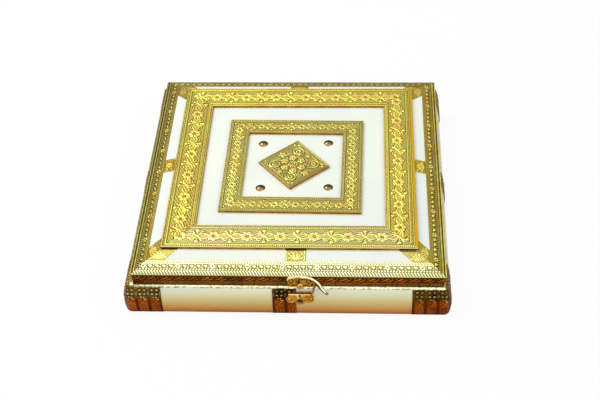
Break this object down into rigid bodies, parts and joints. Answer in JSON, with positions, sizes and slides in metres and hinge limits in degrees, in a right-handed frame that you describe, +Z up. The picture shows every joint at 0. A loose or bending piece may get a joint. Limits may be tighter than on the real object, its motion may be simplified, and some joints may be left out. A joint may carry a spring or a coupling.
{
  "type": "dry fruit box",
  "caption": "Square low hinged box with a bullnose base, a hip lid with embossed metal frames, a divided velvet-lined inside and a horn hook latch.",
  "frame": {"origin": "middle of the underside, where the box stands", "axes": "+X right, +Y back towards the hinges, +Z up; the latch is at the front, -Y"},
  "size_m": [0.2554, 0.2618, 0.0448],
  "materials": {
    "white_laminate": "gloss white laminate on board",
    "board": "plain fibreboard",
    "lining_velvet": "maroon velvet paper",
    "divider_velvet": "maroon velvet paper on board",
    "gold_foil": "embossed brass foil",
    "copper_foil": "embossed antique copper foil",
    "embossed_strip": "embossed and oxidised brass sheet",
    "bronze_stud": "antique bronze",
    "bright_brass": "polished gold plating",
    "hinge_brass": "brass plating"
  },
  "bodies": {
    "base": {"base_corner_foil_back_left": "copper_foil", "base_corner_foil_back_right": "copper_foil", "base_corner_foil_front_left": "copper_foil", "base_corner_foil_front_right": "copper_foil", "base_floor_board": "board", "base_middle_foil_back": "copper_foil", "base_middle_foil_front": "copper_foil", "base_middle_foil_left": "copper_foil", "base_middle_foil_right": "copper_foil", "base_rim_foil_back": "gold_foil", "base_rim_foil_front": "gold_foil", "base_rim_foil_left": "gold_foil", "base_rim_foil_right": "gold_foil", "base_wall_back": "white_laminate", "base_wall_front": "white_laminate", "base_wall_left": "white_laminate", "base_wall_right": "white_laminate", "divider_front_back": "divider_velvet", "divider_left_right": "divider_velvet", "floor_lining": "lining_velvet", "hinge_base_leaf_left": "hinge_brass", "hinge_base_leaf_right": "hinge_brass", "hinge_base_nails": "hinge_brass", "hinge_pins": "hinge_brass", "latch_catch_nails": "bright_brass", "latch_catch_plate": "bright_brass"},
    "lid": {"diamond_plate": "embossed_strip", "dome_studs": "bronze_stud", "hinge_lid_leaf_left": "hinge_brass", "hinge_lid_leaf_right": "hinge_brass", "hinge_lid_nails": "hinge_brass", "hip_corner_foils": "gold_foil", "hip_middle_foils": "gold_foil", "large_frame_strip_back": "embossed_strip", "large_frame_strip_front": "embossed_strip", "large_frame_strip_left": "embossed_strip", "large_frame_strip_right": "embossed_strip", "latch_lid_nails": "bright_brass", "latch_lid_plate": "bright_brass", "latch_rivet": "bright_brass", "lid_border_foil_back": "gold_foil", "lid_border_foil_front": "gold_foil", "lid_border_foil_left": "gold_foil", "lid_border_foil_right": "gold_foil", "lid_centre_board": "white_laminate", "lid_lining": "lining_velvet", "lid_rail_back": "white_laminate", "lid_rail_front": "white_laminate", "lid_rail_left": "white_laminate", "lid_rail_right": "white_laminate", "lid_side_foil_back": "copper_foil", "lid_side_foil_front": "copper_foil", "lid_side_foil_left": "copper_foil", "lid_side_foil_right": "copper_foil", "small_frame_strip_back": "embossed_strip", "small_frame_strip_front": "embossed_strip", "small_frame_strip_left": "embossed_strip", "small_frame_strip_right": "embossed_strip"},
    "hook": {"latch_hook": "bright_brass"}
  },
  "joints": [
    {"name": "lid_hinge", "type": "hinge", "parent": "base", "child": "lid", "pos_m": [0.0013, 0.1246, 0.0294], "axis": [-1, 0, 0], "range_deg": [0, 110]},
    {"name": "hook_pivot", "type": "hinge", "parent": "lid", "child": "hook", "pos_m": [0.011, -0.1253, 0.02984], "axis": [0, 0.866, -0.5], "range_deg": [-60, 58]}
  ]
}
